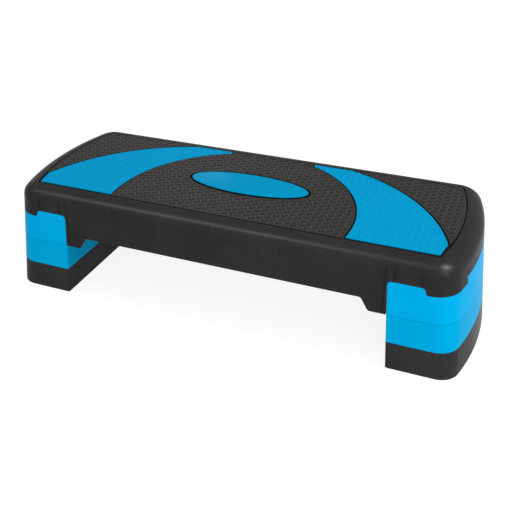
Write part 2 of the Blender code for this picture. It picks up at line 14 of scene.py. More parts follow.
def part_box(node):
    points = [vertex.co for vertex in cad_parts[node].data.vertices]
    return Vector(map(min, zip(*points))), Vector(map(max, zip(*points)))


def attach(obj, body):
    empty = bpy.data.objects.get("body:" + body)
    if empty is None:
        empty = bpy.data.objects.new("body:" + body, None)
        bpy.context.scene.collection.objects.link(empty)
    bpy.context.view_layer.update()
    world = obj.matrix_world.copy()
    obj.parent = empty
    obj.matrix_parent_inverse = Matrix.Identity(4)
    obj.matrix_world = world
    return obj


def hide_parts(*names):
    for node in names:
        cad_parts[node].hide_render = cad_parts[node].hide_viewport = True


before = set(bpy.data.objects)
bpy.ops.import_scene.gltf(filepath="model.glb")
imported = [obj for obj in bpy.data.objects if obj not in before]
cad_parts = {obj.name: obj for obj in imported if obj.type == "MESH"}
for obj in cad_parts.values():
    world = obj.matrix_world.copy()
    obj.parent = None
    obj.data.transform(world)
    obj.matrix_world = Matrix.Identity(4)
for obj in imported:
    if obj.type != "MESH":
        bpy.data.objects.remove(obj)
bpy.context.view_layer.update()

# Base risers
# The two lowest end blocks are loose trays of black polypropylene, injection moulded upside down.
# Each has leaning walls, crossed ribs inside, and a rim on top that locates the block above.
MM = 0.001
BASE_LOW, BASE_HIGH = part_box("base_riser_right")
RIM_HEIGHT = 6.3 * MM                    # of the locating rim, above the riser's flat top
LEVEL_HEIGHT = BASE_HIGH.z - RIM_HEIGHT
END_FLARE = math.radians(7.5)            # the ends lean outwards going down
SIDE_FLARE = math.radians(2.0)
INNER_LEAN = math.radians(4.5)
FLOOR_HALF_LENGTH = BASE_HIGH.x + BASE_LOW.z * math.tan(END_FLARE)
FLOOR_HALF_WIDTH = BASE_HIGH.y + BASE_LOW.z * math.tan(SIDE_FLARE)
FLOOR_INNER_FACE = BASE_LOW.x + LEVEL_HEIGHT * math.tan(INNER_LEAN)
END_ARC_SETBACK = 65.0 * MM              # an end's arc is centred this far past the middle
FLOOR_CORNER_RADIUS = 35.0 * MM
CORNER_GROWTH = 0.06
INNER_CORNER_RADIUS = 3.0 * MM
LEAST_RADIUS = 0.4 * MM
CORNER_STEPS = 18
END_STEPS = 30
INNER_CORNER_STEPS = 4
EDGE_ROUND = 0.9 * MM
EDGE_STEPS = 4
WALL = 3.0 * MM
RIB = 2.5 * MM
TOP_PLATE = 3.5 * MM
RIB_SETBACK = 8.0 * MM                   # a block's ribs end this far above its lower edge
RIM_INSET = 4.0 * MM
RIM_THICKNESS = 2.5 * MM
RIM_ROUND = 0.6 * MM
FOOT_NEAR = sum(corner.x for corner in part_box("base_foot_right_1")) / 2
FOOT_FAR = sum(corner.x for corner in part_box("base_foot_right_3")) / 2
FOOT_SIDE = sum(corner.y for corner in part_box("base_foot_right_2")) / 2
FOOT_POCKET_RADIUS = 10.3 * MM
FOOT_POCKET_DEPTH = 4.0 * MM
FOOT_PAD_RADIUS = 12.5 * MM
FOOT_PAD_HEIGHT = 10.0 * MM
DIMPLE_RADIUS = 11.0 * MM                # hollow in a riser's top that takes the foot above
DIMPLE_DEPTH = 1.5 * MM
ROUND_STEPS = 40
PAST = 20.0 * MM                         # how far a tool reaches past what it cuts
SHARP = math.radians(32.0)               # edges that turn by more than this stay crisp
GRAIN_OVER_DRIFT = 3.5                   # weight of a moulding's fine grain over its slow drifts
GRAIN_SPREAD = (1.55, 2.95)              # the mixed noise, from its dark to its light
POLISH_DRIFT = 0.04                      # either way from a moulding's roughness


def linear(hex_colour):
    """Linear red, green, blue and alpha of an sRGB colour written as rrggbb."""
    channels = [int(hex_colour[i:i + 2], 16) / 255 for i in (0, 2, 4)]
    return [c / 12.92 if c <= 0.04045 else ((c + 0.055) / 1.055) ** 2.4 for c in channels] + [1.0]


def node(tree, kind, settings=(), **inputs):
    """Adds a node. An input is named by its socket, with _ for a space, or by n_ and its number.

    It is given a value, an output, or a node, which stands for its first output.
    """
    made = tree.nodes.new("ShaderNode" + kind)
    for name, value in dict(settings).items():
        setattr(made, name, value)
    for name, value in inputs.items():
        socket = made.inputs[int(name[2:])] if name[:2] == "n_" else made.inputs[name.replace("_", " ")]
        if isinstance(value, bpy.types.Node):
            value = value.outputs[0]
        if isinstance(value, bpy.types.NodeSocket):
            tree.links.new(value, socket)
        else:
            socket.default_value = value
    return made


def start_material(name):
    """A material, its emptied node tree, and the place on the piece that its patterns read."""
    material = bpy.data.materials.new(name)
    material.use_nodes = True
    tree = material.node_tree
    tree.nodes.clear()
    return material, tree, node(tree, "TexCoord").outputs["Object"]


def half_length(z):
    return FLOOR_HALF_LENGTH - z * math.tan(END_FLARE)


def half_width(z):
    return FLOOR_HALF_WIDTH - z * math.tan(SIDE_FLARE)


def inner_face(z):
    return FLOOR_INNER_FACE - z * math.tan(INNER_LEAN)


def corner_radius(z):
    return FLOOR_CORNER_RADIUS + CORNER_GROWTH * z


def arc(centre_x, centre_y, radius, start, end, steps):
    """Points along an arc, both ends included, with the angles in radians."""
    angles = [start + (end - start) * i / steps for i in range(steps + 1)]
    return [(centre_x + radius * math.cos(a), centre_y + radius * math.sin(a)) for a in angles]


def end_outline(z, inset, corner):
    """Outline of the +X end at height z, from the front side round to the back side."""
    end_radius = half_length(z) - inset + END_ARC_SETBACK
    corner_y = half_width(z) - inset - corner
    corner_x = math.sqrt((end_radius - corner) ** 2 - corner_y ** 2) - END_ARC_SETBACK
    turn = math.atan2(corner_y, corner_x + END_ARC_SETBACK)
    front = arc(corner_x, -corner_y, corner, -math.pi / 2, -turn, CORNER_STEPS)
    end = arc(-END_ARC_SETBACK, 0.0, end_radius, -turn, turn, END_STEPS)
    back = arc(corner_x, corner_y, corner, turn, math.pi / 2, CORNER_STEPS)
    return front + end[1:-1] + back


def block_outline(z, inset, inner_inset=None):
    """Outline of a right-hand end block at height z."""
    face = inner_face(z) + (inset if inner_inset is None else inner_inset)
    corner = max(INNER_CORNER_RADIUS - inset, LEAST_RADIUS)
    corner_x = face + corner
    corner_y = half_width(z) - inset - corner
    front = arc(corner_x, -corner_y, corner, math.pi, 1.5 * math.pi, INNER_CORNER_STEPS)
    back = arc(corner_x, corner_y, corner, math.pi / 2, math.pi, INNER_CORNER_STEPS)
    return front + end_outline(z, inset, corner_radius(z) - inset) + back


def quarter_turn(steps):
    """Sine and one minus cosine of the angles from 0 to 90 degrees, which draw a rounded shape."""
    angles = [math.pi / 2 * i / steps for i in range(steps + 1)]
    return [(math.sin(a), 1.0 - math.cos(a)) for a in angles]


def rounded_edge(radius, steps=EDGE_STEPS):
    """How far in and how far down an edge's round lies, from its side up to its top."""
    return [(radius * (1.0 - across), radius * down) for across, down in reversed(quarter_turn(steps))]


def draw_up(sections):
    """Fills the first of a list of (height, outline) sections and extrudes it through the rest."""
    bm = bmesh.new()
    z, outline = sections[0]
    ring = [bm.verts.new((x, y, z)) for x, y in outline]
    bm.faces.new(ring)
    for z, outline in sections[1:]:
        edges = [bm.edges.get(pair) for pair in zip(ring, ring[1:] + ring[:1])]
        made = bmesh.ops.extrude_edge_only(bm, edges=edges)["geom"]
        fresh = {v for v in made if isinstance(v, bmesh.types.BMVert)}
        ring = [next(e.other_vert(v) for e in v.link_edges if e.other_vert(v) in fresh) for v in ring]
        for vertex, (x, y) in zip(ring, outline):
            vertex.co = (x, y, z)
    bm.faces.new(ring)
    return bm


def new_object(name, bm):
    """Turns a bmesh into an object at the origin, with its faces outwards."""
    bmesh.ops.recalc_face_normals(bm, faces=bm.faces)
    mesh = bpy.data.meshes.new(name)
    bm.to_mesh(mesh)
    bm.free()
    obj = bpy.data.objects.new(name, mesh)
    bpy.context.scene.collection.objects.link(obj)
    return obj


def apply_modifiers(obj):
    """Makes what the modifiers show the object's own mesh."""
    graph = bpy.context.evaluated_depsgraph_get()
    shown = bpy.data.meshes.new_from_object(obj.evaluated_get(graph))
    before = obj.data
    obj.modifiers.clear()
    obj.data = shown
    bpy.data.meshes.remove(before)


def carve(obj, tool, operation="DIFFERENCE"):
    """Cuts, joins or keeps an object by a tool, which is then thrown away."""
    modifier = obj.modifiers.new("carve", "BOOLEAN")
    modifier.operation = operation
    modifier.solver = "MANIFOLD"
    modifier.object = tool
    apply_modifiers(obj)
    bpy.data.objects.remove(tool)


def bars(extents):
    """A tool of separate upright boxes, each (x low, x high, y low, y high, z low, z high)."""
    bm = bmesh.new()
    for x0, x1, y0, y1, z0, z1 in extents:
        middle = Matrix.Translation(((x0 + x1) / 2, (y0 + y1) / 2, (z0 + z1) / 2))
        size = Matrix.Diagonal((x1 - x0, y1 - y0, z1 - z0, 1.0))
        bmesh.ops.create_cube(bm, size=1.0, matrix=middle @ size)
    return new_object("bars", bm)


def add_rod(bm, x, y, radius, low, high):
    """Adds an upright cylinder."""
    bmesh.ops.create_cone(bm, cap_ends=True, segments=ROUND_STEPS, radius1=radius, radius2=radius,
                          depth=high - low, matrix=Matrix.Translation((x, y, (low + high) / 2)))


def rods(places, radius, low, high):
    """A tool of separate upright cylinders at the given (x, y) places."""
    bm = bmesh.new()
    for x, y in places:
        add_rod(bm, x, y, radius, low, high)
    return new_object("rods", bm)


FOOT_PLACES = [(x, y) for x in (FOOT_NEAR, FOOT_FAR) for y in (-FOOT_SIDE, FOOT_SIDE)]


def hollow_out(block, cavity, low, top):
    """Empties a block from below and leaves its crossed ribs and a pad for each foot."""
    reach = FLOOR_HALF_LENGTH + PAST
    rib_low = low + RIB_SETBACK
    carve(cavity, bars([(x - RIB / 2, x + RIB / 2, -reach, reach, rib_low, top)
                        for x in (FOOT_NEAR, FOOT_FAR)]))
    lines = [share * FOOT_SIDE for share in (-1.0, -0.5, 0.0, 0.5, 1.0)]
    carve(cavity, bars([(0.0, reach, y - RIB / 2, y + RIB / 2, rib_low, top) for y in lines]))
    carve(cavity, rods(FOOT_PLACES, FOOT_PAD_RADIUS, low - PAST, low + FOOT_PAD_HEIGHT))
    carve(block, cavity)
    carve(block, rods(FOOT_PLACES, FOOT_POCKET_RADIUS, low - PAST, low + FOOT_POCKET_DEPTH))


def lower_edge(low):
    """The first sections of an end block, round its lower edge."""
    return [(low + rise, block_outline(low, inset)) for inset, rise in reversed(rounded_edge(EDGE_ROUND))]


def make_riser(low, high):
    """A right-hand riser, with rounded edges outside and on its locating rim."""
    sections = lower_edge(low)
    sections += [(high - drop, block_outline(high, inset)) for inset, drop in rounded_edge(EDGE_ROUND)]
    rim_middle = high + RIM_HEIGHT / 2
    top = high + RIM_HEIGHT
    turns = rounded_edge(RIM_ROUND)
    outside = [(top - drop, RIM_INSET + inset) for inset, drop in turns]
    inside = [(top - drop, RIM_INSET + RIM_THICKNESS - inset) for inset, drop in reversed(turns)]
    rim = [(high, RIM_INSET)] + outside + inside + [(high, RIM_INSET + RIM_THICKNESS)]
    sections += [(z, block_outline(rim_middle, inset)) for z, inset in rim]
    riser = new_object("riser", draw_up(sections))
    inner = [(z, block_outline(z, WALL)) for z in (low - PAST, high - TOP_PLATE)]
    hollow_out(riser, new_object("cavity", draw_up(inner)), low, high + PAST)
    carve(riser, rods(FOOT_PLACES, DIMPLE_RADIUS, high - DIMPLE_DEPTH, high + PAST))
    return riser


def finish_piece(obj, name, material, body, nodes):
    """Names a piece, smooths its rounds, and ties it to its body, finish and frame nodes."""
    obj.name = name
    obj.data.name = name
    obj.data.materials.clear()
    obj.data.materials.append(material)
    obj.data.polygons.foreach_set("use_smooth", [True] * len(obj.data.polygons))
    obj.data.set_sharp_from_angle(angle=SHARP)
    weighted = obj.modifiers.new("flat_faces_stay_flat", "WEIGHTED_NORMAL")
    weighted.keep_sharp = True
    weighted.weight = 100
    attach(obj, body)
    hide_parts(*nodes)


def mirrored(obj):
    """A copy of a right-hand piece for the left end."""
    bm = bmesh.new()
    bm.from_mesh(obj.data)
    bmesh.ops.scale(bm, vec=(-1.0, 1.0, 1.0), verts=bm.verts)
    return new_object(obj.name, bm)


def finish_pair(right, name, material, body_of_side):
    """Finishes a right-hand block, and a mirrored copy of it for the left end."""
    for side, obj in (("right", right), ("left", mirrored(right))):
        finish_piece(obj, f"{name}_{side}_moulding", material, body_of_side.format(side),
                     [f"{name}_{side}"])


def moulded_polypropylene(name, colour, shade, tint_of_sheen, sheen, roughness):
    """Polypropylene from a finely eroded mould: an even colour, a satin sheen and a soft grain."""
    material, tree, place = start_material(name)
    # The mould's erosion is some 0.1 mm wide; it is drawn at 1.3 mm, which the render can show
    grain = node(tree, "TexNoise", Vector=place, Scale=1 / (1.3 * MM), Detail=3.0, Roughness=0.6)
    # Slow drifts in colour and sheen, as wide as the flow of plastic in the mould
    drift = node(tree, "TexNoise", Vector=place, Scale=1 / (70 * MM), Detail=2.0)
    mix = node(tree, "Math", {"operation": "MULTIPLY_ADD"}, n_0=grain, n_1=GRAIN_OVER_DRIFT, n_2=drift)
    dark, light = GRAIN_SPREAD
    tint = node(tree, "MapRange", Value=mix, From_Min=dark, From_Max=light)
    blend = node(tree, "Mix", {"data_type": "RGBA"}, n_0=tint, n_6=linear(shade), n_7=linear(colour))
    polish = node(tree, "MapRange", Value=mix, From_Min=dark, From_Max=light,
                  To_Min=roughness + POLISH_DRIFT, To_Max=roughness - POLISH_DRIFT)
    bump = node(tree, "Bump", Strength=0.7, Distance=0.09 * MM, Height=grain)
    shader = node(tree, "BsdfPrincipled", Base_Color=blend.outputs[2], Roughness=polish, IOR=1.49,
                  Specular_IOR_Level=sheen, Specular_Tint=linear(tint_of_sheen), Normal=bump)
    node(tree, "OutputMaterial", Surface=shader)
    return material


# Painted light: this black is a little lighter than the platform's, to make up for the shade near the floor;
# it is the same plastic
BASE_BLACK_PAINTED_LIGHTER = moulded_polypropylene("black_moulded_polypropylene", "3b3a3a", "262525", "ffffff",
                                      0.02, 0.31)
finish_pair(make_riser(BASE_LOW.z, LEVEL_HEIGHT), "base_riser", BASE_BLACK_PAINTED_LIGHTER, "base_{}")

# Middle risers
# The same moulding as the base risers, in blue polypropylene. They stand on the base risers, held
# sideways only by the rims, and lift off when the platform is used one level lower.
SEAM = 0.3 * MM                          # between blocks that stand on each other
MIDDLE_LOW = LEVEL_HEIGHT + SEAM
MIDDLE_TOP = 2 * LEVEL_HEIGHT
BLUE_PLASTIC = moulded_polypropylene("blue_moulded_polypropylene", "00a5da", "00a0d3", "00a8dd",
                                     0.01, 0.36)
finish_pair(make_riser(MIDDLE_LOW, MIDDLE_TOP), "middle_riser", BLUE_PLASTIC, "middle_{}")

# Legs
# The fixed end blocks of the platform, moulded in a brighter blue. The lower wall is flush with
# the platform's skirt and fills its notches; a core goes up inside and is screwed to the platform.
DECK_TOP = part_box("mat_field")[1].z
LEG_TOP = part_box("leg_right")[1].z
SKIRT_SEAM = 0.6 * MM                    # between a leg and the platform's skirt
SIDE_SEAM = 0.05 * MM                    # between a leg's inner side and the skirt's tab
CORE_CLEARANCE = 0.5 * MM                # between a leg's core and the skirt in front of it
CORE_SETBACK = 0.6 * MM                  # of the core from the leg's inner face
LEG_EDGE_TRIM = 0.1 * MM
LEG_STEP_DROP = 8.2 * MM                 # from the teeth down to where a leg's wall steps inwards
SKIRT_EDGE_HEIGHT = 78.0 * MM            # these heights are measured down from the standing surface
NOTCH_HEIGHT = 40.0 * MM
TOOTH_HEIGHT = 51.5 * MM
TAB_CLEARANCE = 0.4 * MM                 # between the skirt's tab and the riser below it
TAB_BOTTOM = MIDDLE_TOP + TAB_CLEARANCE
TAB_WIDTH = 28.6 * MM
TAB_SLANT = 13.0 * MM
TAB_BEND_RADIUS = 6.0 * MM               # where the skirt's edge turns down to the tab
TAB_CORNER_RADIUS = 1.5 * MM
NOTCH_RADIUS = 8.0 * MM
TOOTH_RADIUS = 3.0 * MM
TOOTH_START = 60.0 * MM                  # from a leg's inner face
END_NOTCH_HALF_WIDTH = 98.0 * MM
BEND_STEPS = 6
SCREW_LINE = (FOOT_NEAR + FOOT_FAR) / 2
SCREW_HOLE_RADIUS = 2.3 * MM
SCREW_PLACES = [(SCREW_LINE, share * FOOT_SIDE) for share in (-0.75, -0.25, 0.25, 0.75)]


def rounded(corners):
    """Replaces each corner (x, y, radius) of a closed outline by an arc of that radius."""
    points = []
    for i, (x, y, radius) in enumerate(corners):
        if radius == 0:
            points.append((x, y))
            continue
        ways = []
        for other_x, other_y, _ in (corners[i - 1], corners[(i + 1) % len(corners)]):
            length = math.hypot(other_x - x, other_y - y)
            ways.append(((other_x - x) / length, (other_y - y) / length))
        (ax, ay), (bx, by) = ways
        half_angle = math.acos(max(-1.0, min(1.0, ax * bx + ay * by))) / 2
        reach = radius / math.tan(half_angle)
        middle = math.hypot(ax + bx, ay + by)
        centre_x = x + (ax + bx) / middle * radius / math.sin(half_angle)
        centre_y = y + (ay + by) / middle * radius / math.sin(half_angle)
        start = math.atan2(y + ay * reach - centre_y, x + ax * reach - centre_x)
        end = math.atan2(y + by * reach - centre_y, x + bx * reach - centre_x)
        turn = (end - start + math.pi) % (2 * math.pi) - math.pi
        points += arc(centre_x, centre_y, radius, start, start + turn, BEND_STEPS)
    return points


def below_skirt(drop, side_gap):
    """A tool of everything below the platform's skirt edge, drawn from the front."""
    tab = TAB_BOTTOM - drop
    tab_x = inner_face(tab) - TAB_WIDTH
    edge = DECK_TOP - SKIRT_EDGE_HEIGHT - drop
    notch = DECK_TOP - NOTCH_HEIGHT - drop
    tooth = DECK_TOP - TOOTH_HEIGHT - drop
    tooth_x = inner_face(notch) + TOOTH_START - drop
    right = [
        (tab_x - TAB_SLANT, edge, TAB_BEND_RADIUS),
        (tab_x, tab, TAB_BEND_RADIUS),
        (inner_face(tab) - side_gap, tab, TAB_CORNER_RADIUS),
        (inner_face(notch) - side_gap, notch, NOTCH_RADIUS - drop),
        (tooth_x, notch, NOTCH_RADIUS),
        (tooth_x, tooth, TOOTH_RADIUS),
        (FLOOR_HALF_LENGTH + PAST, tooth, 0),
        (FLOOR_HALF_LENGTH + PAST, LEVEL_HEIGHT, 0),
    ]
    left = [(-x, z, radius) for x, z, radius in reversed(right)]
    bm = bmesh.new()
    reach = FLOOR_HALF_WIDTH + PAST
    face = bm.faces.new([bm.verts.new((x, -reach, z)) for x, z in rounded(right + left)])
    made = bmesh.ops.extrude_face_region(bm, geom=[face])["geom"]
    moved = [v for v in made if isinstance(v, bmesh.types.BMVert)]
    bmesh.ops.translate(bm, verts=moved, vec=(0.0, 2 * reach, 0.0))
    return new_object("below_skirt", bm)


def end_notches(drop, low):
    """A tool of the taller notch in the middle of each end."""
    half = END_NOTCH_HALF_WIDTH - drop
    near = inner_face(DECK_TOP) + TOOTH_START
    far = FLOOR_HALF_LENGTH + PAST
    top = DECK_TOP - NOTCH_HEIGHT - drop
    return bars([(near, far, -half, half, low, top), (-far, -near, -half, half, low, top)])


def make_leg():
    """The right-hand leg, its lower edge rounded like a riser's."""
    low = MIDDLE_TOP + SEAM
    behind_skirt = WALL + CORE_CLEARANCE
    above_notch = DECK_TOP - NOTCH_HEIGHT + PAST
    outside = lower_edge(low) + [(above_notch, block_outline(above_notch, 0.0))]
    leg = new_object("leg", draw_up(outside))
    flush = below_skirt(SKIRT_SEAM, LEG_EDGE_TRIM)
    carve(flush, end_notches(SKIRT_SEAM, MIDDLE_TOP), "UNION")
    carve(leg, flush, "INTERSECT")
    core = [(z, block_outline(z, behind_skirt, CORE_SETBACK)) for z in (low + RIB_SETBACK, LEG_TOP)]
    carve(leg, new_object("core", draw_up(core)), "UNION")
    step = DECK_TOP - TOOTH_HEIGHT - LEG_STEP_DROP
    levels = [(low - PAST, WALL, WALL), (step, WALL, WALL),
              (step + behind_skirt, WALL + behind_skirt, WALL + CORE_SETBACK),
              (LEG_TOP - TOP_PLATE, WALL + behind_skirt, WALL + CORE_SETBACK)]
    cavity = new_object("cavity", draw_up([(z, block_outline(z, a, b)) for z, a, b in levels]))
    hollow_out(leg, cavity, low, LEG_TOP + PAST)
    carve(leg, rods(SCREW_PLACES, SCREW_HOLE_RADIUS, LEG_TOP - 2 * TOP_PLATE, LEG_TOP + PAST))
    return leg


BRIGHT_BLUE_PLASTIC = moulded_polypropylene("bright_blue_moulded_polypropylene", "00a9e2", "00a4db",
                                            "00abe4", 0.01, 0.36)
finish_pair(make_leg(), "leg", BRIGHT_BLUE_PLASTIC, "deck")

# Feet
# Discs of soft black rubber, pressed into the pads under every block, with a rounded edge and a
# turned-in ring underneath that grips the floor or the block below.
FOOT_RADIUS = 10.0 * MM
FOOT_EDGE_ROUND = 0.9 * MM
FOOT_RING_WIDTH = 2.6 * MM
FOOT_RING_DEPTH = 0.5 * MM


def foot_rubber():
    """Nitrile rubber, pressed and dusty: nearly black, dull, with a faint crumb."""
    material, tree, place = start_material("black_nitrile_rubber")
    # The crumb of pressed rubber, about 0.7 mm
    crumb = node(tree, "TexNoise", Vector=place, Scale=1 / (0.7 * MM), Detail=4.0, Roughness=0.7)
    blend = node(tree, "Mix", {"data_type": "RGBA"}, n_0=crumb, n_6=linear("171717"), n_7=linear("262524"))
    bump = node(tree, "Bump", Strength=0.4, Distance=0.05 * MM, Height=crumb)
    shader = node(tree, "BsdfPrincipled", Base_Color=blend.outputs[2], Roughness=0.82, IOR=1.52,
                  Normal=bump)
    node(tree, "OutputMaterial", Surface=shader)
    return material


def lowest_face(bm):
    return min(bm.faces, key=lambda f: f.calc_center_median().z)


def rounded_disc(x, y, radius, low, high, edge_round):
    """A cylinder whose lower edge is rounded."""
    bm = bmesh.new()
    add_rod(bm, x, y, radius, low, high)
    bmesh.ops.bevel(bm, geom=lowest_face(bm).edges[:], offset=edge_round, offset_type="OFFSET",
                    affect="EDGES", segments=EDGE_STEPS, profile=0.5, material=-1)
    return bm


def make_foot(x, y, low, high):
    """A rubber disc with a ring turned into its underside."""
    bm = rounded_disc(x, y, FOOT_RADIUS, low, high, FOOT_EDGE_ROUND)
    under = lowest_face(bm)
    bmesh.ops.inset_region(bm, faces=[under], thickness=FOOT_RING_WIDTH)
    bmesh.ops.inset_region(bm, faces=[under], thickness=FOOT_RING_DEPTH, depth=-FOOT_RING_DEPTH)
    return new_object("foot", bm)


FOOT_RUBBER = foot_rubber()
for level, body_of_side in (("base", "base_{}"), ("middle", "middle_{}"), ("leg", "deck")):
    for side in ("left", "right"):
        for number in (1, 2, 3, 4):
            name = f"{level}_foot_{side}_{number}"
            foot_low, foot_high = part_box(name)
            middle = (foot_low + foot_high) / 2
            foot = make_foot(middle.x, middle.y, foot_low.z, foot_high.z)
            finish_piece(foot, f"{name}_rubber", FOOT_RUBBER, body_of_side.format(side),
                         [name])

# Screws
# Zinc-plated pan-head screws with a cross recess, eight in all. They go up through the top plate of
# each leg into bosses under the platform, so only their heads show, from below.
SCREW_RADIUS = 2.0 * MM
SCREW_HEAD_RADIUS = 4.0 * MM
SCREW_HEAD_HEIGHT = 2.5 * MM
SCREW_HEAD_ROUND = 1.4 * MM
SCREW_POINT_LENGTH = 3.0 * MM
SCREW_PITCH = 1.8 * MM
SCREW_CORE_RADIUS = 1.45 * MM
SCREW_TIP_RADIUS = 0.29 * MM
SCREW_CORE_IN_HEAD = 0.9 * MM            # how far the core reaches into the head
THREAD_ROOT = 0.1 * MM                   # how far the thread reaches into the core
THREAD_STEPS = 12
CROSS_WIDTH = 0.9 * MM
CROSS_LENGTH = 4.4 * MM
CROSS_DEPTH = 1.4 * MM


def zinc_plate():
    """Bright zinc plating: a pale grey metal with a slightly uneven polish."""
    material, tree, place = start_material("zinc_plated_steel")
    # Crystals and handling marks of the plating, about 1.5 mm
    marks = node(tree, "TexNoise", Vector=place, Scale=1 / (1.5 * MM), Detail=3.0)
    polish = node(tree, "MapRange", Value=marks, To_Min=0.22, To_Max=0.42)
    shader = node(tree, "BsdfPrincipled", Base_Color=linear("c4c6c9"), Metallic=1.0, Roughness=polish)
    node(tree, "OutputMaterial", Surface=shader)
    return material


def make_screw(x, y, low, high):
    """A pan head cut by a cross, on a core with one helical thread spun round it."""
    head_top = low + SCREW_HEAD_HEIGHT
    screw = new_object("screw", rounded_disc(x, y, SCREW_HEAD_RADIUS, low, head_top, SCREW_HEAD_ROUND))
    for across_x, across_y in ((CROSS_LENGTH, CROSS_WIDTH), (CROSS_WIDTH, CROSS_LENGTH)):
        carve(screw, bars([(x - across_x / 2, x + across_x / 2, y - across_y / 2, y + across_y / 2,
                            low - PAST, low + CROSS_DEPTH)]))
    shank_top = high - SCREW_POINT_LENGTH
    last = 2 * math.pi * (1 - 1 / THREAD_STEPS)
    core = draw_up([(z, arc(x, y, radius, 0.0, last, THREAD_STEPS - 1))
                    for z, radius in ((head_top - SCREW_CORE_IN_HEAD, SCREW_CORE_RADIUS),
                                      (shank_top, SCREW_CORE_RADIUS), (high, SCREW_TIP_RADIUS))])
    carve(screw, new_object("core", core), "UNION")
    bm = bmesh.new()
    root = SCREW_CORE_RADIUS - THREAD_ROOT
    start = head_top + SCREW_PITCH / 2
    half = SCREW_PITCH / 4
    flank = [bm.verts.new((x + reach, y, start + rise))
             for reach, rise in ((root, -half), (SCREW_RADIUS, 0.0), (root, half))]
    turns = (shank_top - start - SCREW_PITCH) / SCREW_PITCH
    steps = round(turns * THREAD_STEPS)
    face = bm.faces.new(flank)
    bmesh.ops.spin(bm, geom=[face, *face.edges, *face.verts], cent=(x, y, 0.0), axis=(0.0, 0.0, 1.0),
                   dvec=(0.0, 0.0, SCREW_PITCH / THREAD_STEPS), angle=2 * math.pi * turns, steps=steps)
    carve(screw, new_object("thread", bm), "UNION")
    return screw


ZINC = zinc_plate()
for side in ("left", "right"):
    for number in (1, 2, 3, 4):
        name = f"leg_screw_{side}_{number}"
        screw_low, screw_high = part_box(name)
        middle = (screw_low + screw_high) / 2
        screw = make_screw(middle.x, middle.y, screw_low.z, screw_high.z)
        finish_piece(screw, f"{name}_zinc", ZINC, "deck", [name])

# Platform
# One large moulding of black polypropylene: a rounded shoulder, a deep skirt notched round the legs,
# a shallow recess on top for the mat, and ribs and screw bosses underneath.
SHOULDER_WIDTH = 27.5 * MM
SHOULDER_DROP = 21.0 * MM
SHOULDER_STEPS = 14
FIELD_CORNER_RADIUS = 3.0 * MM
RECESS_DEPTH = 3.0 * MM
RECESS_FLOOR = DECK_TOP - RECESS_DEPTH
PLATE_UNDERSIDE = RECESS_FLOOR - WALL
LIP_ROUND = 0.7 * MM                     # inner edge of the shoulder, at the groove
DECK_RIB_DEPTH = 50.0 * MM
CROSS_RIBS_EACH_WAY = 3
LONG_RIB_PITCH = 75.0 * MM
BOSS_RADIUS = 5.0 * MM
SCREW_REACH = 13.5 * MM                  # of a pilot hole, above a leg's top
POCKET_CLEARANCE = 0.4 * MM              # between a leg's core and the cross rib beside it
SINKS = [280.0 * MM, 294.0 * MM, 335.0 * MM]        # places of the sink marks, from the middle
SINK_HALF_WIDTH = 3.0 * MM
SINK_DEPTH = 0.5 * MM
# Height band above the recess's floor that is coloured with painted shade
RECESS_SHADE_BAND = 0.3 * MM
LEVEL_ENOUGH = 0.99                      # upward part of a normal, on the recess's floor


def deck_outline(z, inset):
    """Outline of the platform, whose corners sharpen from the skirt to the shoulder's inner edge."""
    share = inset / SHOULDER_WIDTH
    corner = corner_radius(z) * (1.0 - share) + FIELD_CORNER_RADIUS * share
    right = end_outline(z, inset, max(corner, LEAST_RADIUS))
    return right + [(-x, -y) for x, y in right]


def shoulder_inset(z):
    """How far in from the skirt's line the platform's rounded shoulder lies at height z."""
    drop = min(max(DECK_TOP - z, 0.0), SHOULDER_DROP)
    across = math.sqrt(1.0 - (1.0 - drop / SHOULDER_DROP) ** 2)
    return SHOULDER_WIDTH * (1.0 - across)


